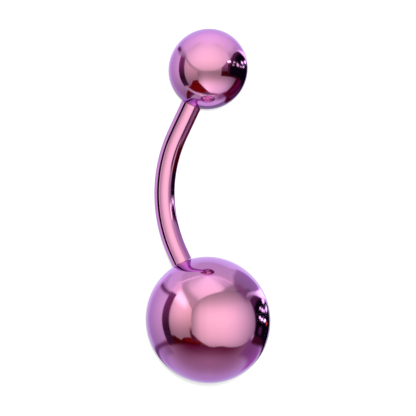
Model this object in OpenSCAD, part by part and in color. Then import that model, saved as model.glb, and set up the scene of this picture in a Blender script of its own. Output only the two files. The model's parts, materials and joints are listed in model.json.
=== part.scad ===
// A navel ring: a bowed bar with a small ball screwed on its upper end and a large ball on its
// lower end. It lies as it rests by itself, on both balls and on the bow of the bar, with the
// surface at z = 0. The balls lie along x, the large one at +x.

/* [Bar] */
// Diameter of the bar
bar_d = 1.3; // [0.8:0.05:1.6]
// Radius of the bend, to the middle of the bar
bend_r = 8.87; // [7:0.01:14]
// Angle that the bar turns through in its bend, in degrees
bend_angle = 50; // [20:1:80]
// Straight length from the bend to the upper ball
upper_leg = 2.05; // [0.5:0.05:4]
// Straight length from the bend to the lower ball
lower_leg = 0.75; // [0.5:0.05:4]

/* [Upper ball] */
// Diameter of the upper ball, square to its thread
upper_ball_d = 5; // [3:0.1:8]
// Length of the upper ball, along its thread
upper_ball_len = 5.15; // [4.5:0.05:8]

/* [Lower ball] */
// Diameter of the lower ball, square to its thread
lower_ball_d = 7.9; // [4:0.1:12]
// Length of the lower ball, along its thread
lower_ball_len = 8.1; // [4.5:0.05:12]

/* [Threads and seats] */
// Step in from the side of the bar to the crest of its thread
thread_step = 0.07; // [0.04:0.01:0.15]
// Length of the threaded post at each end of the bar
thread_len = 2.2; // [1.2:0.1:2.6]
// Bevel round the tip of each post
tip_bevel = 0.15; // [0.05:0.05:0.3]
// Gap all round a post, in the hole that it screws into
thread_gap = 0.025; // [0.01:0.005:0.05]
// Depth of the hole past the tip of the post
hole_relief = 0.3; // [0.1:0.1:0.5]
// Width that a ball's flat seat shows round the end of the bar
seat_rim = 0.02; // [0.01:0.01:0.2]
// Gap between the end of the bar and the seat
seat_gap = 0.02; // [0.01:0.01:0.05]

/* [Hidden] */
$fn = 96;

pink = [0.80, 0.45, 0.68];
half_bend = bend_angle / 2;
post_d = bar_d - 2 * thread_step;
hole_d = post_d + 2 * thread_gap;
seat_d = bar_d + 2 * seat_rim;
hole_depth = thread_len + hole_relief;
// How far one solid runs into the next where they are joined, or past a face that it cuts
lap = 0.1;
// The bend is this much slimmer all round than the straight ends that it runs into
bend_step = 0.005;

// The bow is worked out standing up, in the plane y = 0. The middle of its bend is the origin,
// the bar bows towards -x, and each thread leaves the bar along its own line.
upper_tilt = half_bend;
lower_tilt = 180 - half_bend;
upper_line = [sin(upper_tilt), 0, cos(upper_tilt)];
lower_line = [sin(lower_tilt), 0, cos(lower_tilt)];
upper_bend_end = bend_r * [-cos(half_bend), 0, sin(half_bend)];
lower_bend_end = bend_r * [-cos(half_bend), 0, -sin(half_bend)];

// Height of a ball's flat seat above the ball's middle
function seat_height(ball_d, ball_len) = ball_len / 2 * sqrt(1 - pow(seat_d / ball_d, 2));

upper_seat = seat_height(upper_ball_d, upper_ball_len);
lower_seat = seat_height(lower_ball_d, lower_ball_len);
upper_middle = upper_bend_end + (upper_leg + seat_gap + upper_seat) * upper_line;
lower_middle = lower_bend_end + (lower_leg + seat_gap + lower_seat) * lower_line;

// How far a ball reaches from its middle in the unit direction dir
function reach(ball_d, ball_len, line, dir) =
  let (slant = dir * line)
  sqrt(pow(ball_d / 2, 2) * (1 - pow(slant, 2)) + pow(ball_len / 2 * slant, 2));
function upper_reach(dir) = reach(upper_ball_d, upper_ball_len, upper_line, dir);
function lower_reach(dir) = reach(lower_ball_d, lower_ball_len, lower_line, dir);

span = norm(upper_middle - lower_middle);
to_upper = (upper_middle - lower_middle) / span;
to_bow = [-to_upper.z, 0, to_upper.x];
sideways = [0, 1, 0];

// One step towards the direction that points down when both balls and the bow touch the surface.
// Its share along the ring levels the two balls. Its share towards the bow sets the roll, and is
// at most what a ring has that hangs bow down between its balls.
function next_down(down) =
  let (
    along = (lower_reach(down) - upper_reach(down)) / span,
    low = to_upper * lower_middle * along + lower_reach(down) - bar_d / 2,
    deep = to_bow * lower_middle,
    rest = pow(bend_r, 2) - pow(deep, 2),
    touch = (low * deep + sqrt(pow(low * deep, 2) + rest * (pow(low, 2) - pow(bend_r * along, 2)))) / rest,
    bow = min(touch, sqrt(1 - pow(along, 2)))
  )
  along * to_upper + bow * to_bow + sqrt(max(0, 1 - pow(along, 2) - pow(bow, 2))) * sideways;
function settled(down, steps) = steps == 0 ? down : settled(next_down(down), steps - 1);

down = settled(to_bow, 8);
up = -down;
flat = (to_upper * down) * down - to_upper;
x_dir = flat / norm(flat);
y_dir = cross(up, x_dir);
x_middle = (x_dir * (upper_middle + lower_middle) + lower_reach(x_dir) - upper_reach(x_dir)) / 2;
y_middle = y_dir * lower_middle;
surface = up * lower_middle - lower_reach(down);

// Lays the standing ring down, with the middle of its outline over the origin
module laid_down() {
  multmatrix([
    [x_dir.x, x_dir.y, x_dir.z, -x_middle],
    [y_dir.x, y_dir.y, y_dir.z, -y_middle],
    [up.x, up.y, up.z, -surface],
    [0, 0, 0, 1]
  ]) children();
}

// Turns a child's z axis onto a thread's line, starting at a point
module on_line(point, tilt) {
  translate(point) rotate([0, tilt, 0]) children();
}

// Bent middle of the bar, with its ends a little way inside the straight ends
module bend() {
  half_turn = half_bend + lap / bend_r * 180 / PI;
  rotate([90, 0, 0])
    rotate_extrude(angle = 2 * half_turn, start = 180 - half_turn)
      translate([bend_r, 0]) circle(d = bar_d - 2 * bend_step);
}

// Straight end of the bar with its threaded post, along z from the end of the bend
module threaded_end(leg) {
  cylinder(d = bar_d, h = leg);
  cylinder(d = post_d, h = leg + thread_len - tip_bevel);
  translate([0, 0, leg + thread_len - tip_bevel])
    cylinder(d1 = post_d, d2 = post_d - 2 * tip_bevel, h = tip_bevel);
}

// Ball with its middle at the origin, and its flat seat and blind threaded hole towards -z
module threaded_ball(ball_d, ball_len, seat) {
  difference() {
    scale([1, 1, ball_len / ball_d]) sphere(d = ball_d);
    translate([0, 0, -seat - ball_len]) cylinder(d = ball_d, h = ball_len);
    translate([0, 0, -seat - lap]) cylinder(d = hole_d, h = hole_depth + lap);
  }
}

module curved_bar() {
  color(pink) laid_down() {
    bend();
    on_line(upper_bend_end, upper_tilt) threaded_end(upper_leg);
    on_line(lower_bend_end, lower_tilt) threaded_end(lower_leg);
  }
}

module upper_ball() {
  color(pink) laid_down()
    on_line(upper_middle, upper_tilt) threaded_ball(upper_ball_d, upper_ball_len, upper_seat);
}

module lower_ball() {
  color(pink) laid_down()
    on_line(lower_middle, lower_tilt) threaded_ball(lower_ball_d, lower_ball_len, lower_seat);
}

curved_bar();
upper_ball();
lower_ball();
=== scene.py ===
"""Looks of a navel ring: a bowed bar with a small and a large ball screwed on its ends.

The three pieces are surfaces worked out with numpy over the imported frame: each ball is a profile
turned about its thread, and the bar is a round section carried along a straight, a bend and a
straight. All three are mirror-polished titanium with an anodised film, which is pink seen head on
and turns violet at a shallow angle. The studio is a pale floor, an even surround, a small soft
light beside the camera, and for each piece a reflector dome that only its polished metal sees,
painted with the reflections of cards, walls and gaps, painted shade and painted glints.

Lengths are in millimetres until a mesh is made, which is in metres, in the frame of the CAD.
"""

import sys
import json
import logging
import math
from dataclasses import dataclass, field
from enum import Enum
from typing import ClassVar

import bpy
import numpy as np
from mathutils import Matrix, Vector


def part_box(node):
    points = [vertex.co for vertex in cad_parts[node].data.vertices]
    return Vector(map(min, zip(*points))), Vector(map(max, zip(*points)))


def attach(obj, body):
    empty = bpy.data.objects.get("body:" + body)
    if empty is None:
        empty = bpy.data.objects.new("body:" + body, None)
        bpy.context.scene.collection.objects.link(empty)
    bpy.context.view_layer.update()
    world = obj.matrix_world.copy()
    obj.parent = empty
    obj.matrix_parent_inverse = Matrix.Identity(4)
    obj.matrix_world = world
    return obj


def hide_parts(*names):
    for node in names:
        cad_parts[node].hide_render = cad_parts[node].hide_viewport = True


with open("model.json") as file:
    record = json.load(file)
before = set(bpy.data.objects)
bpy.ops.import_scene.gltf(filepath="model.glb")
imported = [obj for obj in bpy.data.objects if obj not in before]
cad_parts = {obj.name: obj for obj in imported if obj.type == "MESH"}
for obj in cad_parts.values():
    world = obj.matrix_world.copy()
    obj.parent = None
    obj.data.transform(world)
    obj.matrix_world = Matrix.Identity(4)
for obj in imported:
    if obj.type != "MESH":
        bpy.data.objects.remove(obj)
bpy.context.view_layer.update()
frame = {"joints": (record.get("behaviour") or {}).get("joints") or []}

MM = 0.001
FULL_TURN = 2 * math.pi
QUARTER_TURN = math.pi / 2
SHARP_CREASE = math.radians(35)
WHITE = (1.0, 1.0, 1.0, 1.0)

log = logging.getLogger("navel_ring")

Triple = tuple[float, float, float]


def unit(vector: np.ndarray) -> np.ndarray:
    """The vector divided by its own length."""
    return vector / np.linalg.norm(vector)


def angle_between(first: np.ndarray, second: np.ndarray) -> float:
    """Angle between two unit vectors, in radians."""
    return math.acos(float(first @ second))


def smooth_step(value: np.ndarray) -> np.ndarray:
    """0 below 0, 1 above 1, and the cubic 3t^2 - 2t^3 between."""
    t = np.clip(value, 0, 1)
    return t * t * (3 - 2 * t)


def even_steps(share: np.ndarray, levels: tuple[float, ...]) -> np.ndarray:
    """Reads a few levels, evenly spaced from 0 to 1, as one broken line.

    Args:
        share: where to read, from 0 to 1, as an array of any shape.
        levels: the values at even steps from 0 to 1; one level is the same everywhere.

    Returns:
        The level at each share, straight between two steps.
    """
    return np.interp(share, np.linspace(0, 1, len(levels)), levels)


@dataclass(frozen=True)
class RingLayout:
    """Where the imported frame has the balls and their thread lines, in millimetres.

    Each thread line points out of the bar, into its ball.
    """

    upper_middle: np.ndarray
    lower_middle: np.ndarray
    upper_line: np.ndarray
    lower_line: np.ndarray

    @classmethod
    def from_frame(cls) -> "RingLayout":
        """Reads the balls' middles from their boxes, and the thread lines from the joints.

        Returns:
            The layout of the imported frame.
        """
        lines = {j["child"]: unit(np.array(j["axis"], float)) for j in frame["joints"]}
        middles = {}
        for node in ("upper_ball", "lower_ball"):
            low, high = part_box(node)
            middles[node] = np.array(low + high) / 2 / MM
        return cls(middles["upper_ball"], middles["lower_ball"], lines["upper_ball"], lines["lower_ball"])

    @property
    def span(self) -> float:
        """Distance between the middles of the two balls."""
        return float(np.linalg.norm(self.upper_middle - self.lower_middle))

    @property
    def up_the_ring(self) -> np.ndarray:
        """Direction from the lower ball to the upper ball."""
        return unit(self.upper_middle - self.lower_middle)

    @property
    def off_the_bow(self) -> np.ndarray:
        """Direction square to the plane of the bow, on its side above the floor."""
        normal = unit(np.cross(self.upper_line, self.lower_line))
        return normal if normal[2] > 0 else -normal


@dataclass(frozen=True)
class Thread:
    """A fine metric thread: its step and how deep its groove is."""

    pitch: float = 0.25
    depth: float = 0.13
    crest_share: float = 0.2
    root_share: float = 0.3

    def groove(self, along: np.ndarray, turn: np.ndarray) -> np.ndarray:
        """Depth of the groove below the crest, for a right-hand thread.

        The phase is the distance along the thread in pitches, less the turn in whole turns. Over
        one pitch the depth is none on the crest, all of it in the root, and straight between.

        Args:
            along: distance along the thread, in millimetres.
            turn: angle about the thread, right-handed, in radians.

        Returns:
            The depth at each point, from 0 to the thread's own depth.
        """
        phase = np.mod(along / self.pitch - turn / FULL_TURN, 1)
        from_root = np.abs(phase - 0.5) * 2
        flank = 1 - self.crest_share - self.root_share
        return self.depth * np.clip((1 - self.crest_share - from_root) / flank, 0, 1)


@dataclass
class Skin:
    """A closed tube of points: rows along it, columns round it, with a pole at each end.

    marks has the coordinates of each point that the polishing marks are drawn on.
    """

    points: np.ndarray
    marks: np.ndarray

    def faces(self) -> list[list[int]]:
        """Quads between the rows and a fan of triangles at each pole, all facing outwards.

        Returns:
            One list of vertex numbers per face, counted in the order that build() gives them.
        """
        rows, columns = self.points.shape[0] - 2, self.points.shape[1]
        here = np.arange(rows * columns).reshape(rows, columns)
        beside = np.roll(here, -1, axis=1)
        quads = np.stack([here[:-1], beside[:-1], beside[1:], here[1:]], axis=-1).reshape(-1, 4)
        first, last = rows * columns, rows * columns + 1
        start = np.stack([np.full(columns, first), beside[0], here[0]], axis=-1)
        end = np.stack([np.full(columns, last), here[-1], beside[-1]], axis=-1)
        return quads.tolist() + start.tolist() + end.tolist()

    def build(self, name: str) -> bpy.types.Object:
        """Makes the mesh object, smooth but for its real creases.

        Args:
            name: name of the new object.

        Returns:
            The object, linked into the scene, with its place in its mesh and a vector attribute
            "marks" that the finish reads.
        """
        pole_rows = [0, -1]
        place = np.concatenate([self.points[1:-1].reshape(-1, 3), self.points[pole_rows, 0]])
        marks = np.concatenate([self.marks[1:-1].reshape(-1, 3), self.marks[pole_rows, 0]])
        mesh = bpy.data.meshes.new(name)
        mesh.from_pydata((place * MM).tolist(), [], self.faces())
        layer = mesh.attributes.new("marks", "FLOAT_VECTOR", "POINT")
        layer.data.foreach_set("vector", marks.astype(np.float32).ravel())
        mesh.polygons.foreach_set("use_smooth", np.ones(len(mesh.polygons), bool))
        mesh.set_sharp_from_angle(angle=SHARP_CREASE)
        mesh.validate()
        piece = bpy.data.objects.new(name, mesh)
        bpy.context.scene.collection.objects.link(piece)
        return piece


class PolishGroup:
    """Shader node group: the faint marks that polishing leaves, and how unevenly the film took."""

    NAME = "polish_marks"
    INPUTS = (
        ("Marks", "NodeSocketVector", None),
        ("Place", "NodeSocketVector", None),
        ("Marks per mm", "NodeSocketFloat", 9.0),
        ("Film patches per mm", "NodeSocketFloat", 0.3),
        ("Roughness low", "NodeSocketFloat", 0.05),
        ("Roughness high", "NodeSocketFloat", 0.1),
    )
    OUTPUTS = (
        ("Height", "NodeSocketFloat"),
        ("Roughness", "NodeSocketFloat"),
        ("Film", "NodeSocketFloat"),
    )
    MARK_DETAIL = 3
    MARK_FADE = 0.6
    WEAR_SCALE = 0.4
    WEAR_DETAIL = 4
    WEAR_FROM = 0.3
    WEAR_TO = 0.7
    FILM_DETAIL = 1

    def __init__(self) -> None:
        """Starts an empty group with its sockets."""
        self.tree = bpy.data.node_groups.new(self.NAME, "ShaderNodeTree")
        for name, kind, value in self.INPUTS:
            socket = self.tree.interface.new_socket(name, in_out="INPUT", socket_type=kind)
            if value is not None:
                socket.default_value = value
        for name, kind in self.OUTPUTS:
            self.tree.interface.new_socket(name, in_out="OUTPUT", socket_type=kind)

    def build(self) -> bpy.types.ShaderNodeTree:
        """Fills the group.

        The marks are noise on stretched coordinates, so that it draws out into lines. Their
        height is the noise itself, and the roughness runs from low to high with a coarser noise
        of the same lay. The film is a slow noise over the whole piece, from 0 to 1.

        Returns:
            The finished node tree.
        """
        nodes, links = self.tree.nodes, self.tree.links
        entry = nodes.new("NodeGroupInput")
        leave = nodes.new("NodeGroupOutput")
        lines = nodes.new("ShaderNodeTexNoise")
        lines.inputs["Detail"].default_value = self.MARK_DETAIL
        lines.inputs["Roughness"].default_value = self.MARK_FADE
        links.new(entry.outputs["Marks"], lines.inputs["Vector"])
        links.new(entry.outputs["Marks per mm"], lines.inputs["Scale"])
        links.new(lines.outputs["Fac"], leave.inputs["Height"])

        coarser = nodes.new("ShaderNodeMath")
        coarser.operation = "MULTIPLY"
        coarser.inputs[1].default_value = self.WEAR_SCALE
        links.new(entry.outputs["Marks per mm"], coarser.inputs[0])
        wear = nodes.new("ShaderNodeTexNoise")
        wear.inputs["Detail"].default_value = self.WEAR_DETAIL
        links.new(entry.outputs["Marks"], wear.inputs["Vector"])
        links.new(coarser.outputs["Value"], wear.inputs["Scale"])
        spread = nodes.new("ShaderNodeMapRange")
        spread.inputs["From Min"].default_value = self.WEAR_FROM
        spread.inputs["From Max"].default_value = self.WEAR_TO
        links.new(wear.outputs["Fac"], spread.inputs["Value"])
        links.new(entry.outputs["Roughness low"], spread.inputs["To Min"])
        links.new(entry.outputs["Roughness high"], spread.inputs["To Max"])
        links.new(spread.outputs["Result"], leave.inputs["Roughness"])

        per_metre = nodes.new("ShaderNodeMath")
        per_metre.operation = "DIVIDE"
        per_metre.inputs[1].default_value = MM
        links.new(entry.outputs["Film patches per mm"], per_metre.inputs[0])
        film = nodes.new("ShaderNodeTexNoise")
        film.inputs["Detail"].default_value = self.FILM_DETAIL
        links.new(entry.outputs["Place"], film.inputs["Vector"])
        links.new(per_metre.outputs["Value"], film.inputs["Scale"])
        links.new(film.outputs["Fac"], leave.inputs["Film"])
        return self.tree


@dataclass(frozen=True)
class AnodisedFinish:
    """Mirror-polished titanium under a thin oxide film that colours what it reflects.

    turn_start and turn_end are the facing shares at which the colour starts to turn and has turned.
    """

    name: str
    marks_per_mm: float
    head_on: Triple = (0.83, 0.37, 0.54)
    slanting: Triple = (0.66, 0.30, 0.74)
    edge_tint: Triple = (0.86, 0.74, 0.93)
    turn_start: float = 0.02
    turn_end: float = 0.62
    film_spread: float = 0.08
    mark_depth: float = 0.00004
    roughness_low: float = 0.06
    roughness_high: float = 0.10
    PLAIN_BLEND: ClassVar[float] = 0.5

    def build(self, marks: bpy.types.ShaderNodeTree) -> bpy.types.Material:
        """Makes the material.

        The colour goes from head_on to slanting as the surface turns away from the eye, as an
        interference film does. The turn is the facing share, drawn out so that 60 degrees gives
        four fifths of it and 68 degrees all, plus a small shift where the film is thinner or
        thicker.

        Args:
            marks: the shader group that gives the polishing marks and the film's patches.

        Returns:
            A material with one Principled shader.
        """
        material = bpy.data.materials.new(self.name)
        material.use_nodes = True
        nodes, links = material.node_tree.nodes, material.node_tree.links
        shader = nodes["Principled BSDF"]
        shader.inputs["Metallic"].default_value = 1
        shader.inputs["Specular Tint"].default_value = (*self.edge_tint, 1)

        place = nodes.new("ShaderNodeTexCoord")
        lay = nodes.new("ShaderNodeAttribute")
        lay.attribute_name = "marks"
        polish = nodes.new("ShaderNodeGroup")
        polish.node_tree = marks
        polish.inputs["Marks per mm"].default_value = self.marks_per_mm
        polish.inputs["Roughness low"].default_value = self.roughness_low
        polish.inputs["Roughness high"].default_value = self.roughness_high
        links.new(place.outputs["Object"], polish.inputs["Place"])
        links.new(lay.outputs["Vector"], polish.inputs["Marks"])
        links.new(polish.outputs["Roughness"], shader.inputs["Roughness"])

        bump = nodes.new("ShaderNodeBump")
        bump.inputs["Strength"].default_value = 1
        bump.inputs["Distance"].default_value = self.mark_depth * MM
        links.new(polish.outputs["Height"], bump.inputs["Height"])
        links.new(bump.outputs["Normal"], shader.inputs["Normal"])

        facing = nodes.new("ShaderNodeLayerWeight")
        facing.inputs["Blend"].default_value = self.PLAIN_BLEND
        turn = nodes.new("ShaderNodeMapRange")
        turn.inputs["From Min"].default_value = self.turn_start
        turn.inputs["From Max"].default_value = self.turn_end
        links.new(facing.outputs["Facing"], turn.inputs["Value"])
        shift = nodes.new("ShaderNodeMapRange")
        shift.inputs["To Min"].default_value = -self.film_spread
        shift.inputs["To Max"].default_value = self.film_spread
        links.new(polish.outputs["Film"], shift.inputs["Value"])
        both = nodes.new("ShaderNodeMath")
        both.operation = "ADD"
        both.use_clamp = True
        links.new(turn.outputs["Result"], both.inputs[0])
        links.new(shift.outputs["Result"], both.inputs[1])
        colour = nodes.new("ShaderNodeMix")
        colour.data_type = "RGBA"
        mixed = next(socket for socket in colour.outputs if socket.type == "RGBA")
        pink, violet = (socket for socket in colour.inputs if socket.type == "RGBA")
        pink.default_value = (*self.head_on, 1)
        violet.default_value = (*self.slanting, 1)
        links.new(both.outputs["Value"], colour.inputs["Factor"])
        links.new(mixed, shader.inputs["Base Color"])
        return material


@dataclass
class ScrewBall:
    """A ball with a flat seat and a threaded blind hole, turned about its thread line."""

    name: str
    node: str
    diameter: float
    length: float
    seat_width: float = 1.34
    hole_width: float = 1.21
    hole_depth: float = 2.5
    rim_round: float = 0.03
    mouth_bevel: float = 0.04
    cone_height: float = 0.25
    inset: float = 0.003
    thread: Thread = field(default_factory=Thread)
    rows_over_ball: int = 200
    rows_per_pitch: int = 12
    rim_steps: int = 6
    columns: int = 192
    stretch: float = 0.05

    @property
    def seat_height(self) -> float:
        """Distance from the ball's middle to its flat seat."""
        return self.length / 2 * math.sqrt(1 - (self.seat_width / self.diameter) ** 2)

    def outline(self) -> tuple[np.ndarray, np.ndarray, np.ndarray]:
        """The half outline from the far pole round to the seat, and down the hole to its tip.

        The outside is an ellipse: radius = a sin t and height = b cos t, with a and b half the
        diameter and half the length, less the inset that keeps it inside the CAD's facets. A
        small arc rounds the rim of the seat. The hole starts with a bevel and ends in a cone.

        Returns:
            Three arrays over the rows: the radius, the height on the thread line from the ball's
            middle, and how fully the thread is cut there, from 0 to 1.
        """
        seat_turn = math.pi - math.asin(self.seat_width / self.diameter)
        turn = np.linspace(0, seat_turn, self.rows_over_ball)
        ball = np.stack([
            (self.diameter / 2 - self.inset) * np.sin(turn),
            (self.length / 2 - self.inset) * np.cos(turn),
        ], axis=-1)
        before_rim = ball[:, 0] > self.seat_width / 2 + self.rim_round / 2
        before_rim[: self.rows_over_ball // 2] = True
        ball = ball[before_rim]

        swing = np.linspace(0, QUARTER_TURN, self.rim_steps + 1)[1:]
        inner = self.seat_width / 2 - self.rim_round
        rim = np.stack([
            inner + (ball[-1, 0] - inner) * np.cos(swing),
            ball[-1, 1] + (-self.seat_height - ball[-1, 1]) * np.sin(swing),
        ], axis=-1)

        mouth = np.array([
            [self.hole_width / 2 + self.mouth_bevel, -self.seat_height],
            [self.hole_width / 2, -self.seat_height + self.mouth_bevel],
        ])
        steps = int(self.hole_depth / self.thread.pitch * self.rows_per_pitch)
        hole_end = self.hole_depth - self.seat_height
        wall_height = np.linspace(-self.seat_height + self.mouth_bevel, hole_end, steps)
        wall = np.stack([np.full(steps, self.hole_width / 2), wall_height], axis=-1)[1:]
        tip = np.array([
            [self.hole_width / 4, hole_end + self.cone_height / 2],
            [0, hole_end + self.cone_height],
        ])
        half = np.concatenate([ball, rim, mouth, wall, tip])
        cut = np.zeros(len(half))
        start = len(ball) + len(rim) + len(mouth)
        depth = wall[:, 1] + self.seat_height
        fades_in = np.clip(depth / self.thread.pitch, 0, 1)
        fades_out = np.clip((self.hole_depth - depth) / self.thread.pitch, 0, 1)
        cut[start:start + len(wall)] = fades_in * fades_out
        return half[:, 0], half[:, 1], cut

    def skin(self, middle: np.ndarray, line: np.ndarray) -> Skin:
        """Turns the outline about the thread line.

        Each point is the middle, plus the height along the line, plus the radius round it. In
        the hole the radius grows by the thread's groove.

        Args:
            middle: the ball's middle.
            line: unit direction from the bar into the ball.

        Returns:
            The ball's surface.
        """
        radius, height, cut = self.outline()
        turn = np.linspace(0, FULL_TURN, self.columns, endpoint=False)
        inward = -line
        side = unit(np.cross(inward, [0.0, 0.0, 1.0]))
        other = np.cross(inward, side)
        groove = self.thread.groove(-height[:, None], turn[None, :]) * cut[:, None]
        wide = radius[:, None] + groove
        around = np.cos(turn)[:, None] * side + np.sin(turn)[:, None] * other
        points = middle + height[:, None, None] * line + wide[..., None] * around
        step = np.hypot(np.diff(radius, prepend=radius[0]), np.diff(height, prepend=height[0]))
        travel = np.broadcast_to(np.cumsum(step)[:, None], wide.shape)
        marks = np.stack([
            travel,
            self.stretch * wide * np.cos(turn),
            self.stretch * wide * np.sin(turn),
        ], axis=-1)
        return Skin(points, marks)

    def make(self, middle: np.ndarray, line: np.ndarray, finish: bpy.types.Material) -> bpy.types.Object:
        """Builds the ball, dresses it and puts it on its own body.

        Args:
            middle: the ball's middle.
            line: unit direction from the bar into the ball.
            finish: its material.

        Returns:
            The finished piece.
        """
        piece = self.skin(middle, line).build(self.name)
        piece.data.materials.append(finish)
        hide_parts(self.node)
        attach(piece, self.node)
        return piece


@dataclass(frozen=True)
class BarLine:
    """The middle line of the bar: a straight, a bend and a straight, from one post's tip to the other.

    straight is how far the line runs before the bend, and whole is its full length.
    """

    tip: np.ndarray
    first_way: np.ndarray
    last_way: np.ndarray
    bend_radius: float
    straight: float
    whole: float

    @property
    def bend_angle(self) -> float:
        """Angle between the two thread lines, which the bend turns through."""
        return angle_between(self.first_way, self.last_way)

    @property
    def first_inside(self) -> np.ndarray:
        """Direction square to the first straight, to the inside of the bend."""
        return unit(self.last_way - (self.last_way @ self.first_way) * self.first_way)

    def at(self, along: np.ndarray) -> tuple[np.ndarray, np.ndarray, np.ndarray]:
        """Where the line is, and which way it runs and bends.

        On the bend the way is cos a times the first way plus sin a times the first inside, where
        a is the distance along the bend over its radius. The legs run straight on from its ends.

        Args:
            along: distances from the upper post's tip.

        Returns:
            The points, the ways, and the directions to the inside of the bend, each (n, 3).
        """
        first_inside = self.first_inside
        turned = np.clip((along - self.straight) / self.bend_radius, 0, self.bend_angle)[:, None]
        way = np.cos(turned) * self.first_way + np.sin(turned) * first_inside
        inside = np.cos(turned) * first_inside - np.sin(turned) * self.first_way
        centre = self.tip + self.straight * self.first_way + self.bend_radius * first_inside
        bend_end = self.straight + self.bend_radius * self.bend_angle
        before = np.minimum(along - self.straight, 0)[:, None]
        after = np.maximum(along - bend_end, 0)[:, None]
        place = centre - self.bend_radius * inside + before * self.first_way + after * self.last_way
        return place, way, inside


@dataclass
class CurvedBar:
    """The bowed bar: a straight leg, a bend and a straight leg, with a threaded post each end."""

    name: str = "polished_curved_bar"
    node: str = "curved_bar"
    body: str = "bar"
    diameter: float = 1.3
    bend_radius: float = 8.87
    post_width: float = 1.16
    post_length: float = 2.2
    tip_bevel: float = 0.15
    seat_gap: float = 0.02
    shoulder_round: float = 0.02
    relief: float = 0.2
    least_radius: float = 0.3
    thread: Thread = field(default_factory=Thread)
    row_step: float = 0.06
    rows_per_pitch: int = 14
    edge_steps: int = 5
    columns: int = 96
    spiral_per_mm: float = 0.9
    stretch: float = 0.06

    def line(self, layout: RingLayout, upper_seat: float, lower_seat: float) -> BarLine:
        """Works out the bar's own line from where the balls seat on it.

        The two thread lines meet at a corner. Each leg is the distance from its shoulder to the
        corner, less the bend's radius times the tangent of half its angle.

        Args:
            layout: the balls' middles and thread lines.
            upper_seat: distance from the upper ball's middle to its seat.
            lower_seat: the same for the lower ball.

        Returns:
            The line from the upper post's tip to the lower one's.
        """
        shoulder = layout.upper_middle - layout.upper_line * (upper_seat + self.seat_gap)
        far_shoulder = layout.lower_middle - layout.lower_line * (lower_seat + self.seat_gap)
        first_way, last_way = -layout.upper_line, layout.lower_line
        bend_angle = angle_between(first_way, last_way)
        ways = np.stack([first_way, last_way], axis=1)
        to_corner = np.linalg.lstsq(ways, far_shoulder - shoulder, rcond=None)[0]
        upper_leg, lower_leg = to_corner - self.bend_radius * math.tan(bend_angle / 2)
        straight = self.post_length + upper_leg
        return BarLine(
            tip=shoulder - first_way * self.post_length,
            first_way=first_way,
            last_way=last_way,
            bend_radius=self.bend_radius,
            straight=straight,
            whole=straight + self.bend_radius * bend_angle + lower_leg + self.post_length)

    def post(self) -> tuple[np.ndarray, np.ndarray, np.ndarray]:
        """One post, from its tip to the shoulder.

        Returns:
            Three arrays over the rows: the distance from the tip, the widest radius, and how
            fully the thread is cut, from 0 to 1.
        """
        steps = int(self.post_length / self.thread.pitch * self.rows_per_pitch)
        along = np.linspace(0, self.post_length, steps)
        full = self.post_width / 2
        radius = np.minimum(full, full - self.tip_bevel + along)
        to_shoulder = self.post_length - along
        radius = radius - self.thread.depth * smooth_step(2 - 2 * to_shoulder / self.relief)
        cut = smooth_step((to_shoulder - self.relief / 2) / self.thread.pitch)
        return np.append(0, along), np.append(0, radius), np.append(0, cut)

    def shoulder(self) -> tuple[np.ndarray, np.ndarray]:
        """The square end of the bar, with its edge just broken.

        Returns:
            Two arrays over the rows: the distance from the shoulder's face, and the radius.
        """
        swing = np.linspace(0, QUARTER_TURN, self.edge_steps + 1)
        along = self.shoulder_round * (1 - np.cos(swing))
        radius = self.diameter / 2 - self.shoulder_round * (1 - np.sin(swing))
        return along, radius

    def skin(self, line: BarLine) -> Skin:
        """Carries the round section along the bar's line.

        Each point is the line, plus the radius times cos t to the inside and sin t to the side.
        On the posts the radius is the bevelled post's, less the thread's groove.

        Args:
            line: the bar's middle line.

        Returns:
            The bar's surface.
        """
        post_along, post_radius, post_cut = self.post()
        edge_along, edge_radius = self.shoulder()
        first, last = self.post_length, line.whole - self.post_length
        body = np.arange(first + 2 * self.shoulder_round, last - 2 * self.shoulder_round, self.row_step)
        plain_radius = np.full(len(body), self.diameter / 2)
        plain = np.zeros(2 * len(edge_along) + len(body))
        along = np.concatenate([
            post_along, first + edge_along, body, last - edge_along[::-1], line.whole - post_along[::-1]])
        radius = np.concatenate([
            post_radius, edge_radius, plain_radius, edge_radius[::-1], post_radius[::-1]])
        cut = np.concatenate([post_cut, plain, post_cut[::-1]])

        turn = np.linspace(0, FULL_TURN, self.columns, endpoint=False)
        place, way, inside = line.at(along)
        side = np.cross(way, inside)
        groove = self.thread.groove(along[:, None], turn[None, :]) * cut[:, None]
        cored = np.maximum(radius[:, None] - groove, self.least_radius)
        wide = np.minimum(cored, radius[:, None])
        around = np.cos(turn)[:, None] * inside[:, None] + np.sin(turn)[:, None] * side[:, None]
        points = place[:, None] + wide[..., None] * around
        twisted = turn[None, :] + self.spiral_per_mm * along[:, None]
        marks = np.stack([
            self.diameter / 2 * np.cos(twisted),
            self.diameter / 2 * np.sin(twisted),
            np.broadcast_to(self.stretch * along[:, None], wide.shape),
        ], axis=-1)
        return Skin(points, marks)

    def make(self, line: BarLine, finish: bpy.types.Material) -> bpy.types.Object:
        """Builds the bar, dresses it and puts it on its body.

        Args:
            line: the bar's middle line.
            finish: its material.

        Returns:
            The finished piece.
        """
        piece = self.skin(line).build(self.name)
        piece.data.materials.append(finish)
        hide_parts(self.node)
        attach(piece, self.body)
        return piece


class Tone(Enum):
    """The tones painted on the reflector domes, which the metal mirrors, as red, green and blue."""

    WHITE = (1.0, 1.0, 1.0)
    WARM = (1.04, 0.98, 0.92)
    LILAC = (0.99, 0.95, 1.04)
    VIOLET = (1.0, 0.84, 1.12)
    MAUVE = (1.05, 0.75, 0.95)
    PLUM = (0.10, 0.028, 0.085)
    DEEP_RED = (0.14, 0.003, 0.004)
    DARK_RED = (0.07, 0.001, 0.003)
    BLACK = (0.004, 0.002, 0.006)


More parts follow.
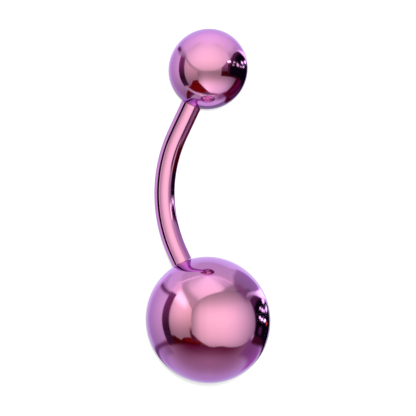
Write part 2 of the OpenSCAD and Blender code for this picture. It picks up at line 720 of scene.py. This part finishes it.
@dataclass(frozen=True)
class Patch:
    """One soft-edged painted area of a reflector dome: a lit card, a wall, a dark gap or painted shade.

    Directions are in degrees: azimuth 0 is towards the camera and 90 to its right, and elevation
    90 is up the ring. bottom and top are given at even steps from left to right, and so is the
    brightness across. The brightness rise and the sideways drift are given at even steps from the
    lowest bottom to the highest top. soft is how wide the edges fade, with values of their own for
    the sides and the top where those differ.
    """

    left: float
    right: float
    bottom: tuple[float, ...]
    top: tuple[float, ...]
    tint: Tone | Triple = Tone.WHITE
    rise: tuple[float, ...] = (1.0,)
    across: tuple[float, ...] = (1.0,)
    drift: tuple[float, ...] = (0.0,)
    soft: float = 2.0
    soft_side: float | None = None
    soft_top: float | None = None

    def paint(self, azimuth: np.ndarray, elevation: np.ndarray, paint: np.ndarray) -> np.ndarray:
        """Lays the patch over what is painted already.

        Its cover is the product of a smooth step in from each of its four edges. Sideways
        distances are azimuths times the cosine of the elevation.

        Args:
            azimuth: azimuth of each point of the dome, in degrees.
            elevation: elevation of each point, in degrees.
            paint: red, green and blue so far, (rows, columns, 3).

        Returns:
            The new paint.
        """
        lowest, highest = min(self.bottom), max(self.top)
        level = (elevation - lowest) / (highest - lowest)
        half = (self.right - self.left) / 2
        middle = self.left + half + even_steps(level, self.drift)
        offset = np.mod(azimuth - middle + 180, 360) - 180
        share = offset / (2 * half) + 0.5
        low, high = even_steps(share, self.bottom), even_steps(share, self.top)
        side = self.soft if self.soft_side is None else self.soft_side
        end = self.soft if self.soft_top is None else self.soft_top
        from_below = smooth_step((elevation - low) / self.soft + 0.5)
        cover = from_below * smooth_step((high - elevation) / end + 0.5)
        if half < 180:
            inside = (half - np.abs(offset)) * np.cos(np.radians(elevation))
            cover = cover * smooth_step(inside / side + 0.5)
        bright = even_steps(level, self.rise) * even_steps(share, self.across)
        tint = self.tint.value if isinstance(self.tint, Tone) else self.tint
        return paint + (bright[..., None] * np.array(tint) - paint) * cover[..., None]


def glint(
    left: float, right: float, bottom: tuple[float, ...], top: tuple[float, ...], bright: float,
    soft: float = 1.5,
) -> Patch:
    """A small white point of light on a dark part of a dome; the values are as for a patch."""
    return Patch(left=left, right=right, bottom=bottom, top=top, rise=(bright,), soft=soft)


@dataclass(frozen=True)
class Dome:
    """A far reflector dome of painted reflections, shade and glints that only one polished piece sees.

    No two domes have the same radius, as a ray stops at the first of two that lie together.
    levels is the brightness of the bare dome at even steps from straight down to straight up.
    """

    name: str
    radius: float
    levels: tuple[float, ...]
    patches: tuple[Patch, ...]
    rows: int = 360
    columns: int = 720

    def build(self, studio: "Studio", piece: bpy.types.Object, glow: bpy.types.Material) -> bpy.types.Object:
        """Makes the dome round the studio's middle and links its light to its piece.

        A point of it is the radius times (cos e cos a, cos e sin a, sin e) along towards, right
        and up, for azimuth a and elevation e.

        Args:
            studio: the studio, which knows where up the ring and towards the camera are.
            piece: the piece that sees it.
            glow: the light that reads the painted colour.

        Returns:
            The dome as a stage object.
        """
        azimuth, elevation = np.meshgrid(
            np.linspace(-180, 180, self.columns), np.linspace(-90, 90, self.rows))
        turn, rise = np.radians(azimuth)[..., None], np.radians(elevation)[..., None]
        out = studio.towards * np.cos(turn) + studio.right * np.sin(turn)
        points = studio.middle + self.radius * (np.cos(rise) * out + np.sin(rise) * studio.up)
        paint = even_steps(elevation / 180 + 0.5, self.levels)[..., None] * np.array(Tone.LILAC.value)
        for patch in self.patches:
            paint = patch.paint(azimuth, elevation, paint)
        paint = np.concatenate([paint, np.ones((*azimuth.shape, 1))], axis=-1)

        count = np.arange(azimuth.size).reshape(azimuth.shape)
        quads = np.stack([count[:-1, :-1], count[:-1, 1:], count[1:, 1:], count[1:, :-1]], axis=-1)
        mesh = bpy.data.meshes.new(self.name)
        mesh.from_pydata((points * MM).reshape(-1, 3).tolist(), [], quads.reshape(-1, 4).tolist())
        layer = mesh.attributes.new("paint", "FLOAT_COLOR", "POINT")
        layer.data.foreach_set("color", paint.astype(np.float32).ravel())
        mesh.materials.append(glow)
        dome = bpy.data.objects.new(self.name, mesh)
        bpy.context.scene.collection.objects.link(dome)
        dome.visible_camera = False
        dome.visible_diffuse = False
        dome.visible_transmission = False
        dome.visible_volume_scatter = False
        dome.visible_shadow = False
        viewers = bpy.data.collections.new(self.name + "_viewers")
        viewers.objects.link(piece)
        dome.light_linking.receiver_collection = viewers
        return dome


# Painted reflections, shade and glints that the upper ball mirrors
UPPER_DOME = Dome(
    name="upper_ball_dome",
    radius=300,
    levels=(0.5, 0.5, 0.55, 0.5, 0.45, 0.55, 0.6, 0.68, 0.74, 0.9, 1.02, 1.12, 1.15),
    patches=(
        # Behind the ball and high and low on its sides
        Patch(
            left=150, right=210, bottom=(-45,), top=(46,), tint=(0.88, 1.0, 1.0),
            rise=(0.28, 0.32, 0.4, 0.55, 0.76, 1.2, 1.1, 1.0, 1.05), soft=6),
        Patch(
            left=-130, right=-60, bottom=(26, 29, 26), top=(37, 38, 32), tint=Tone.LILAC, rise=(0.48,),
            soft=8),
        Patch(
            left=70, right=125, bottom=(24,), top=(40,), tint=Tone.LILAC, rise=(0.48, 0.55, 0.75), soft=8),
        Patch(left=140, right=220, bottom=(-75,), top=(-47,), tint=Tone.LILAC, rise=(0.85,), soft=8),
        Patch(left=84, right=126, bottom=(-68,), top=(-48,), tint=(0.28, 0.16, 0.27), soft=10),
        # Wall on the left, with a dark spot at its top
        Patch(
            left=-155, right=-93, bottom=(-42,), top=(27,), tint=Tone.LILAC,
            rise=(0.4, 0.54, 0.68, 0.83, 0.9, 0.98), across=(1.15, 0.8, 0.82, 1.0), soft=3),
        Patch(left=-141, right=-114, bottom=(25.5, 29, 31), top=(30, 34, 35), tint=Tone.PLUM, rise=(1.6,)),
        # Card on the left
        Patch(
            left=-75, right=-28, bottom=(-37, -37, -35, -32, -27.5, -26.5, -26.5, -28, -28, -28), top=(32,),
            tint=Tone.WARM, rise=(0.26, 0.33, 0.45, 0.58, 0.7, 0.8, 0.85), across=(0.9, 1.05, 1.0, 0.9)),
        # Card in front, above, over the shade along its lower edge
        Patch(
            left=-80, right=62, bottom=(28, 21, 14, 7, 1, -4, -7, -8, -8, -8, -7, -3, 2, 9, 16),
            top=(45, 35, 25, 12, 10, 30), tint=(0.5, 0.48, 0.47), soft=5, soft_side=3),
        Patch(
            left=-82, right=66, bottom=(36, 29, 22, 14.5, 8, 3, -1.5, -3.5, -4, -3.5, -1, 3, 8, 16, 24),
            top=(70,), rise=(0.72, 1.02, 1.18, 1.22, 1.18, 1.12),
            across=(0.7, 0.8, 0.93, 1.0, 1.03, 1.03, 1.0, 0.94, 0.84, 0.78), soft=6, soft_side=12,
            soft_top=30),
        # Dark gap beside the left card
        Patch(
            left=-95, right=-73.5, bottom=(-35,), top=(30,), tint=Tone.PLUM,
            rise=(0.8, 0.5, 0.3, 0.75, 1.4, 2.0, 2.3), drift=(3, 2, 1, 0.5, 0, -1.5, -5), soft=3,
            soft_top=9),
        # Red and plum gaps below the cards
        Patch(
            left=-180, right=-84, bottom=(-12, -24, -36, -44, -49, -52, -55, -57),
            top=(-6, -19, -31, -39, -42, -43, -43, -43), tint=Tone.DEEP_RED, rise=(0.9,)),
        Patch(
            left=-132, right=-84, bottom=(-50, -56, -62), top=(-46, -50, -53), tint=Tone.PLUM, rise=(0.9,),
            soft=3),
        Patch(
            left=-84, right=8, bottom=(-45, -53, -61, -66, -70, -73, -75, -76, -77),
            top=(-38, -38.5, -35, -26.5, -26.5, -28, -28, -28, -28), tint=Tone.DEEP_RED,
            rise=(1.3, 1.2, 1.1), soft=1.5),
        # Card in front, below, with its shade
        Patch(
            left=-22, right=84, bottom=(-75, -77, -77, -75, -71), top=(-66,), tint=(0.22, 0.09, 0.16),
            across=(0.8, 0.8, 1.2, 1.8, 2.2), soft=4, soft_side=8),
        Patch(
            left=-31, right=95, bottom=(-34, -47, -57, -64, -68, -70, -70, -69, -68, -66, -62, -55, -46),
            top=(-3,), rise=(1.0, 1.25, 1.25, 1.18, 1.08, 0.92, 0.72, 0.53, 0.43, 0.38, 0.42),
            across=(0.72, 1.02, 1.15, 1.1, 1.03, 0.96, 0.9, 0.86, 0.82, 0.77, 0.7, 0.58, 0.42), soft=4,
            soft_side=2.5),
        # Bright rims round the bottom
        Patch(
            left=-91, right=-79, bottom=(-72,), top=(-33,), rise=(0.95, 0.75, 0.55, 0.45),
            drift=(32, 14, 7, 2, -5), soft=3),
        Patch(
            left=-70, right=74, bottom=(-80, -84, -86, -87, -87, -86, -84, -80),
            top=(-67, -74.5, -77.5, -78.5, -78.5, -78, -76, -71), rise=(0.9,),
            across=(1.1, 1, 0.85, 0.85, 1.0, 1.0)),
        # Dark parts low on the right
        Patch(
            left=95, right=162, bottom=(-58, -56, -53, -50, -47, -44, -39, -28), top=(-8,),
            tint=(0.09, 0.001, 0.015), rise=(1.4, 1.3, 1.0, 0.8, 0.6), soft=5, soft_side=3),
        Patch(
            left=112, right=126, bottom=(-40,), top=(-8,), tint=(0.13, 0.004, 0.07), rise=(1.0, 1.1, 0.6),
            drift=(-6, 0, 2), soft=5),
        Patch(
            left=136, right=160, bottom=(-40, -30, -20), top=(-14,), tint=Tone.PLUM, rise=(1.3, 0.8),
            soft=5),
        # Dark opening on the right, with its red and plum edges
        Patch(left=39, right=98, bottom=(-17,), top=(-2,), tint=Tone.DARK_RED, across=(0.85, 0.6, 0.8)),
        Patch(
            left=39, right=66, bottom=(-4,), top=(5, 12, 20, 22), tint=(1.05, 0.55, 0.95),
            rise=(0.12, 0.17, 0.28, 0.38, 0.42)),
        Patch(
            left=59, right=157, bottom=(-8,), top=(20, 23, 27.5, 31.5, 32.5, 32, 30, 26, 20, 14, 6),
            tint=Tone.PLUM, rise=(0.4, 0.6, 0.8, 0.8), soft=2.5),
        Patch(
            left=66, right=157, bottom=(-14,), top=(9, 14, 18, 24, 26, 26, 24, 20, 14, 9, 3),
            tint=Tone.BLACK, soft=4),
        # Bright frame over the opening, and points of light in it
        Patch(
            left=98, right=158, bottom=(31.5, 32, 29, 23.5, 17, 11, 4), top=(34, 35.5, 33, 28, 22, 17, 12),
            tint=Tone.LILAC, across=(0.5, 0.65, 0.8, 1.3, 2.3, 2.0, 1.2)),
        glint(59, 70, (16.5,), (20.5,), 3.5, 2),
        glint(79, 87, (13.5, 14.5), (16, 17), 1.3),
        glint(75, 81, (8.5,), (11.5,), 0.8),
        glint(92, 97, (7,), (12.5,), 1.6),
        glint(98, 101, (5.5,), (10,), 1.4),
        glint(107, 114, (5, 4), (7, 6), 1.2),
        glint(114, 123, (10.5, 8), (14, 11.5), 2.4),
        glint(119, 129, (4,), (6,), 1.9, 1.2),
        glint(128, 134, (9,), (11,), 1.6, 1.2),
        glint(136, 146, (8.5, 7), (11.5, 9.5), 3.2, 1.2),
    ),
)

# Painted reflections, shade and glints that the lower ball mirrors
LOWER_DOME = Dome(
    name="lower_ball_dome",
    radius=320,
    levels=(0.6, 0.57, 0.6, 0.66, 0.72, 0.72, 0.72, 0.72, 0.68, 0.68, 0.74, 1.02, 1.25),
    patches=(
        # Behind the ball and high on its left
        Patch(
            left=150, right=214, bottom=(-45,), top=(48,), tint=(0.88, 1.0, 1.0),
            rise=(0.7, 0.8, 0.95, 0.8, 0.95, 1.2, 1.1, 1.05, 0.9), soft=6),
        Patch(left=-165, right=-88, bottom=(34,), top=(55,), tint=Tone.LILAC, rise=(0.88, 0.84), soft=7),
        # Card overhead, what lies behind it, and the thin bright edges between
        Patch(
            left=-82, right=54, bottom=(46, 40, 30, 26, 34, 42, 46), top=(120,),
            rise=(0.85, 1.05, 1.24, 1.28, 1.28, 1.26, 1.25), across=(0.6, 0.74, 0.92, 1.0, 1.02, 1.0, 0.85),
            soft=6, soft_side=8),
        Patch(
            left=96, right=264, bottom=(56,), top=(120,), tint=Tone.LILAC, rise=(0.68, 0.72, 0.8), soft=10),
        Patch(
            left=-93, right=-88, bottom=(46,), top=(89,), tint=(1.08, 0.98, 1.04),
            rise=(0.95, 1.1, 1.25, 1.3, 1.3), drift=(-14, -4, 0, 0, 0), soft=1.5),
        Patch(
            left=86, right=91, bottom=(42,), top=(89,), tint=(1.08, 0.98, 1.04),
            rise=(0.6, 0.85, 1.05, 1.15, 1.2), drift=(8, 1, 0, 0, 0), soft=1.5),
        # Shade high on the right
        Patch(left=34, right=104, bottom=(38,), top=(52, 55, 57, 56, 54, 52), rise=(0.36, 0.42), soft=7),
        Patch(
            left=84, right=153, bottom=(24, 24, 22, 18, 15, 14), top=(50, 54, 55, 53, 46, 35),
            tint=Tone.VIOLET, rise=(0.35, 0.33, 0.34, 0.38), across=(0.8, 0.95, 1.0, 1.2, 1.4), soft=4),
        Patch(
            left=78, right=116, bottom=(38, 34, 31, 28), top=(46, 42, 38, 33), tint=Tone.VIOLET,
            rise=(0.19,), soft=3),
        # Wall on the left, with the shade at its foot and its thin edges
        Patch(
            left=-154, right=-92, bottom=(-15, -21, -24.5, -26.5, -27.5), top=(24, 30, 33, 34, 34),
            tint=Tone.LILAC, rise=(0.55, 0.6, 0.68, 0.76, 0.82, 0.84, 0.65),
            across=(1.6, 0.85, 0.88, 1.0, 1.08), soft=3),
        Patch(
            left=-158, right=-96, bottom=(-34, -38, -44), top=(-14, -26, -28), tint=(0.5, 0.46, 0.53),
            across=(1.3, 1.0, 0.8), soft=6),
        Patch(
            left=-180, right=-92, bottom=(-11, -18, -22.5, -26, -29, -31, -33),
            top=(-7, -13.5, -18, -21.5, -24.5, -26.5, -27.5), tint=(0.2, 0.1, 0.2), soft=3),
        Patch(
            left=150, right=180, bottom=(-19, -16, -9), top=(-15, -12, -5), tint=Tone.PLUM, rise=(1.2,),
            soft=3),
        Patch(left=-149.5, right=-147.5, bottom=(-12,), top=(30,), tint=Tone.MAUVE, rise=(0.5,), soft=1.5),
        # Table in front, dark at its far edge and paler below
        Patch(
            left=-98, right=102, bottom=(-120,), top=(-25, -26, -28, -32, -36, -36, -34, -30, -22),
            tint=(0.125, 0.012, 0.058), soft=4, soft_side=86),
        Patch(
            left=-98, right=102, bottom=(-120,), top=(-63,), tint=(0.42, 0.31, 0.39), soft=4, soft_side=86,
            soft_top=44),
        # Red gap over the table
        Patch(
            left=-93, right=-20, bottom=(-34, -36, -39, -43), top=(-20,), tint=Tone.DARK_RED, soft=7,
            soft_side=4),
        Patch(
            left=-49, right=-16, bottom=(-32, -36, -40), top=(-25,), tint=Tone.DEEP_RED, rise=(1.1,),
            soft=3),
        # Card on the left, with its shade, its bright corner and its glow
        Patch(
            left=-84, right=-18, bottom=(36, 30, 24, 18), top=(62, 55, 48, 40), tint=(0.58, 0.56, 0.56),
            soft=13),
        Patch(left=-98, right=-74, bottom=(37,), top=(53, 53, 48), tint=(1.08, 0.98, 1.02), soft=5),
        Patch(
            left=-79, right=-31, bottom=(-15.5, -20.5, -25.5, -29.5, -26, -26, -26.5, -28),
            top=(50, 47.5, 45, 42, 38, 33.5, 28, 20), tint=(1.05, 0.98, 0.88),
            rise=(0.3, 0.38, 0.5, 0.68, 0.86, 1.02, 1.15, 1.22, 1.2, 1.05),
            across=(0.72, 0.95, 1.05, 1.0, 0.9), drift=(2, 1, 0.5, 0, 0, 0, 0), soft=1.5),
        Patch(
            left=-78, right=-44, bottom=(32, 29, 26, 22), top=(47, 44, 40, 34), tint=(1.0, 1.1, 1.0),
            rise=(1.75,), soft=12),
        # Dark gaps beside the left card and over the wall
        Patch(
            left=-94.5, right=-76.5, bottom=(-32,), top=(37,), tint=Tone.PLUM,
            rise=(0.5, 0.5, 0.5, 0.95, 1.55, 2.0, 2.0), across=(1.15, 1.0, 0.75),
            drift=(3, 1.5, 0.5, 0, 0, 0, -1), soft=3),
        Patch(
            left=-142, right=-77, bottom=(20, 24, 27, 29.5, 31, 32.5), top=(24, 28.5, 31.5, 34, 36, 38),
            tint=(0.22, 0.09, 0.2), across=(1.2, 0.8, 0.8, 1.1, 1.0, 0.8), soft=4),
        # Large card in front, with the shade at its sides
        Patch(
            left=-36, right=-27, bottom=(-33,), top=(-12,), tint=(0.1, 0.01, 0.04), drift=(3, 1, 1),
            soft=1.5, soft_top=14),
        Patch(
            left=-31, right=97,
            bottom=(-20, -31, -38.5, -43.5, -44.5, -42.5, -41.5, -42, -41, -39, -35, -27, -14),
            top=(22, 38, 44.5, 48.5, 51, 52.5, 53, 52.5, 51, 49, 45, 38, 26), tint=(1.0, 0.985, 0.96),
            rise=(0.5, 0.84, 1.02, 1.12, 1.2, 1.27, 1.25, 1.1, 0.8, 0.57, 0.42),
            across=(0.32, 0.8, 0.97, 1.0, 1.0, 0.92, 0.75, 0.54, 0.3)),
        Patch(left=84, right=104, bottom=(26,), top=(50,), tint=(0.24, 0.13, 0.24), soft=16),
        # Dark opening on the right, with its plum edges
        Patch(
            left=86, right=158, bottom=(-49, -45, -40, -35), top=(-22,), tint=(0.26, 0.13, 0.26),
            across=(0.9, 0.95, 1.35, 2.0), soft=9),
        Patch(
            left=97, right=162, bottom=(-28, -27, -25, -22, -18, -15), top=(-12,), tint=(0.06, 0.006, 0.02),
            soft=4),
        Patch(
            left=96, right=156, bottom=(-18,), top=(25, 25.5, 24, 20, 15, 9, 2), tint=Tone.PLUM,
            rise=(0.5, 0.7, 1.0), soft=2.5),
        Patch(left=99, right=156, bottom=(-18,), top=(14, 17, 18, 15, 11, 6, 0), tint=Tone.BLACK, soft=4),
        Patch(left=108, right=118, bottom=(-15,), top=(-8,), tint=Tone.PLUM, soft=3),
        # Bright frame over the opening, and points of light in it
        Patch(
            left=94, right=159, bottom=(29, 28.5, 24.5, 18.5, 12.5, 8, 3),
            top=(31.5, 32, 28.5, 23.5, 18.5, 13.5, 8), tint=Tone.LILAC,
            across=(0.4, 0.55, 0.75, 1.2, 2.6, 3.0, 2.0)),
        glint(115, 120, (8.5,), (10.5,), 2.2, 1.2),
        glint(121, 126, (5.5,), (8,), 2.6, 1.2),
        glint(109, 113, (0.5,), (2.5,), 4.0, 1.2),
        glint(114, 121, (-1.5, -2), (0, -0.5), 5.0, 1.2),
        glint(124, 132, (-3.5,), (-1.8,), 5.0, 1.2),
        glint(127, 132, (3.8,), (5.6,), 2.6, 1.0),
        glint(138, 147, (2,), (4.5,), 3.0, 1.2),
        glint(134, 146, (9, 7), (12, 10), 2.4, 1.2),
        Patch(left=134, right=139, bottom=(-6,), top=(-4,), tint=(1.0, 0.15, 0.05), rise=(1.2,), soft=1.0),
    ),
)

# Painted reflections, shade and glints that the bar mirrors
BAR_DOME = Dome(
    name="bar_dome",
    radius=340,
    levels=(0.7, 0.75, 0.8, 0.85, 0.9, 1.0, 1.05, 1.1, 1.15),
    patches=(
        # Behind the bar and on its left
        Patch(left=150, right=196, bottom=(-90,), top=(90,), tint=Tone.LILAC, rise=(0.75,), soft=6),
        Patch(
            left=-170, right=-92, bottom=(-70,), top=(70,), tint=Tone.LILAC,
            rise=(0.7, 0.8, 0.87, 0.87, 0.85), across=(0.75, 0.85, 1.0, 1.0), soft=3),
        # Card on the left and card in front
        Patch(
            left=-74, right=-40, bottom=(-70,), top=(70,), tint=Tone.LILAC, rise=(0.95, 1.0, 1.0),
            across=(0.86, 0.68, 0.53, 0.56, 0.66), soft=3),
        Patch(
            left=-42, right=47, bottom=(-70,), top=(70,),
            across=(0.7, 0.85, 1.02, 1.18, 1.25, 1.27, 1.25, 1.1, 0.82), soft=3),
        # Wall on the right, level and above
        Patch(
            left=45, right=92, bottom=(-12,), top=(8,), tint=Tone.VIOLET,
            across=(0.55, 0.45, 0.45, 0.38, 0.15), soft=4),
        Patch(
            left=45, right=150, bottom=(10.5,), top=(70,), tint=Tone.VIOLET,
            across=(0.68, 0.64, 0.42, 0.42, 0.52, 0.62), soft=4),
        # Dark parts below on the right
        Patch(
            left=38, right=68, bottom=(-70,), top=(-10,), tint=Tone.PLUM, rise=(1.3,), drift=(6, 4, 0),
            soft=3),
        Patch(left=66, right=104, bottom=(-70,), top=(-20,), tint=Tone.VIOLET, rise=(0.28,), soft=4),
        Patch(
            left=72, right=150, bottom=(-24,), top=(-6,), tint=Tone.DARK_RED, rise=(1.2, 1.0, 0.3), soft=5),
        Patch(left=102, right=150, bottom=(-70,), top=(-20,), tint=Tone.DEEP_RED, soft=4),
        # Bright edge and dark opening on the right
        Patch(left=58, right=66, bottom=(-24,), top=(-5,), rise=(0.7, 0.85, 0.45), drift=(-2, 2, 5)),
        Patch(
            left=72, right=150, bottom=(-10,), top=(12,), tint=Tone.PLUM, rise=(0.3, 0.5, 0.8, 1.2),
            soft=3),
        Patch(left=90, right=150, bottom=(-10,), top=(10,), tint=Tone.BLACK, soft=4),
        # Dark gap on the left and the bright edge beside it
        Patch(
            left=-95, right=-65, bottom=(-70,), top=(70,), tint=(0.02, 0.002, 0.014),
            drift=(2, 1, 0, 4, 8)),
        Patch(left=-65, right=-57, bottom=(-70,), top=(15,), tint=Tone.LILAC, rise=(0.95,)),
        # Points of light in the opening
        glint(56, 68, (4,), (10,), 2.0, 2),
        glint(74, 80, (3.5,), (5.5,), 2.5),
        glint(88, 94, (1,), (4,), 2.5),
        glint(100, 112, (2,), (4,), 3.0),
        glint(116, 146, (0.5, 3, 5), (2, 5, 7), 2.5),
    ),
)


@dataclass
class Studio:
    """Floor, light, camera and reflectors, set out from the plane of the bow.

    The picture's upright is the line of the two balls. The camera looks at the plane of the bow
    from a little above the picture's middle, and bow_turn off square, so that the bow lies slightly
    away from it. The lamp is a small disk beside and above the camera.
    """

    layout: RingLayout
    upper_ball_px: tuple[float, float] = (207.8, 68.75)
    lower_ball_px: tuple[float, float] = (207.75, 319.5)
    picture_px: float = 416.0
    camera_distance: float = 174.0
    camera_raise: float = math.radians(2.2)
    camera_clip: tuple[float, float] = (0.005, 20.0)
    bow_turn: float = math.radians(7.0)
    floor_size: float = 6000.0
    floor_tone: Triple = (0.2, 0.2, 0.2)
    floor_glow: float = 0.6
    floor_roughness: float = 0.9
    lamp_raise: float = 4.5
    lamp_shift: float = 4.0
    lamp_size: float = 7.0
    lamp_watts: float = 1.2

    @property
    def up(self) -> np.ndarray:
        """Direction up the picture."""
        return self.layout.up_the_ring

    @property
    def towards(self) -> np.ndarray:
        """Direction level with the picture, from the ring towards the camera."""
        square = self.layout.off_the_bow
        return square * math.cos(self.bow_turn) + np.cross(self.up, square) * math.sin(self.bow_turn)

    @property
    def right(self) -> np.ndarray:
        """Direction to the right of the picture."""
        return np.cross(self.up, self.towards)

    @property
    def middle(self) -> np.ndarray:
        """The domes' common middle."""
        return self.layout.lower_middle

    def camera(self) -> bpy.types.Object:
        """Sets the camera so that both balls come where the picture has them.

        The picture's scale is the pixels between the balls over the span between them, and the
        lens follows from the width that the picture covers at the camera's distance.

        Returns:
            The scene's camera.
        """
        gap_px = self.lower_ball_px[1] - self.upper_ball_px[1]
        px_per_mm = gap_px / (self.layout.span * math.cos(self.camera_raise))
        middle_px = (self.picture_px - 1) / 2
        share = (middle_px - self.upper_ball_px[1]) / gap_px
        aim = self.layout.upper_middle + share * (self.layout.lower_middle - self.layout.upper_middle)
        aim = aim - self.right * (self.lower_ball_px[0] - middle_px) / px_per_mm
        back = self.towards * math.cos(self.camera_raise) + self.up * math.sin(self.camera_raise)
        top = self.up * math.cos(self.camera_raise) - self.towards * math.sin(self.camera_raise)
        data = bpy.data.cameras.new("camera")
        data.lens = data.sensor_width * self.camera_distance * px_per_mm / self.picture_px
        data.clip_start, data.clip_end = self.camera_clip
        camera = bpy.data.objects.new("camera", data)
        bpy.context.scene.collection.objects.link(camera)
        turn = Matrix([self.right, top, back]).transposed().to_4x4()
        camera.matrix_world = Matrix.Translation(Vector((aim + back * self.camera_distance) * MM)) @ turn
        bpy.context.scene.camera = camera
        return camera

    def floor(self) -> bpy.types.Object:
        """Lays the pale floor. The polished metal doesn't see it, but the domes instead.

        Returns:
            The floor as a stage object.
        """
        half = self.floor_size / 2 * MM
        corners = [(-half, -half, 0), (half, -half, 0), (half, half, 0), (-half, half, 0)]
        mesh = bpy.data.meshes.new("floor")
        mesh.from_pydata(corners, [], [(0, 1, 2, 3)])
        paper = bpy.data.materials.new("pale_paper")
        paper.use_nodes = True
        shader = paper.node_tree.nodes["Principled BSDF"]
        shader.inputs["Base Color"].default_value = (*self.floor_tone, 1)
        shader.inputs["Emission Color"].default_value = WHITE
        shader.inputs["Emission Strength"].default_value = self.floor_glow
        shader.inputs["Roughness"].default_value = self.floor_roughness
        shader.inputs["Specular IOR Level"].default_value = 0
        mesh.materials.append(paper)
        floor = bpy.data.objects.new("floor", mesh)
        bpy.context.scene.collection.objects.link(floor)
        floor.visible_glossy = False
        return floor

    def lights(self) -> None:
        """An even pale surround, and a small soft light that gives the floor its faint shadow.

        The light stands at the camera, moved to its right and up, and faces as it does.
        """
        scene = bpy.context.scene
        scene.world = bpy.data.worlds.new("pale_surround")
        scene.world.use_nodes = True
        sky = scene.world.node_tree.nodes["Background"]
        sky.inputs["Color"].default_value = WHITE
        sky.inputs["Strength"].default_value = 1
        scene.world.cycles_visibility.glossy = False
        data = bpy.data.lights.new("soft_light", "AREA")
        data.shape = "DISK"
        data.size = self.lamp_size * MM
        data.energy = self.lamp_watts
        lamp = bpy.data.objects.new("soft_light", data)
        scene.collection.objects.link(lamp)
        turn = scene.camera.matrix_world
        beside = Vector((self.lamp_shift * MM, self.lamp_raise * MM, 0))
        lamp.matrix_world = Matrix.Translation(turn.to_3x3() @ beside) @ turn
        lamp.visible_glossy = False
        lamp.visible_camera = False
        scene.view_settings.view_transform = "Standard"

    def glow(self) -> bpy.types.Material:
        """A light that gives off a dome's painted colour and hides nothing behind it.

        Returns:
            The material that all domes share.
        """
        material = bpy.data.materials.new("reflector_glow")
        material.use_nodes = True
        nodes, links = material.node_tree.nodes, material.node_tree.links
        nodes.clear()
        paint = nodes.new("ShaderNodeAttribute")
        paint.attribute_name = "paint"
        light = nodes.new("ShaderNodeEmission")
        clear = nodes.new("ShaderNodeBsdfTransparent")
        both = nodes.new("ShaderNodeAddShader")
        leave = nodes.new("ShaderNodeOutputMaterial")
        links.new(paint.outputs["Color"], light.inputs["Color"])
        links.new(clear.outputs[0], both.inputs[0])
        links.new(light.outputs[0], both.inputs[1])
        links.new(both.outputs[0], leave.inputs["Surface"])
        return material

    def reflectors(self, domes: list[tuple[Dome, bpy.types.Object]]) -> list[bpy.types.Object]:
        """Puts up a reflector dome for each polished piece.

        Args:
            domes: each dome, with the piece that sees it.

        Returns:
            The dome objects.
        """
        glow = self.glow()
        return [dome.build(self, piece, glow) for dome, piece in domes]


def main() -> None:
    """Builds the ring piece by piece, then the studio round it."""
    logging.basicConfig(level=logging.INFO, format="%(name)s: %(message)s", stream=sys.stdout)
    layout = RingLayout.from_frame()
    marks = PolishGroup().build()
    ball_finish = AnodisedFinish("anodised_ball", marks_per_mm=5.0).build(marks)
    bar_finish = AnodisedFinish("anodised_bar", marks_per_mm=12.0, mark_depth=0.00006).build(marks)

    upper = ScrewBall("polished_upper_ball", "upper_ball", diameter=5.0, length=5.15)
    lower = ScrewBall("polished_lower_ball", "lower_ball", diameter=7.9, length=8.1)
    bar = CurvedBar()
    bar_line = bar.line(layout, upper.seat_height, lower.seat_height)
    domes = [
        (BAR_DOME, bar.make(bar_line, bar_finish)),
        (UPPER_DOME, upper.make(layout.upper_middle, layout.upper_line, ball_finish)),
        (LOWER_DOME, lower.make(layout.lower_middle, layout.lower_line, ball_finish)),
    ]
    for _, piece in domes:
        log.info("%s: %d faces", piece.name, len(piece.data.polygons))

    studio = Studio(layout)
    studio.floor()
    studio.camera()
    studio.lights()
    for dome in studio.reflectors(domes):
        log.info("%s: %d faces", dome.name, len(dome.data.polygons))


if __name__ == "__main__":
    main()
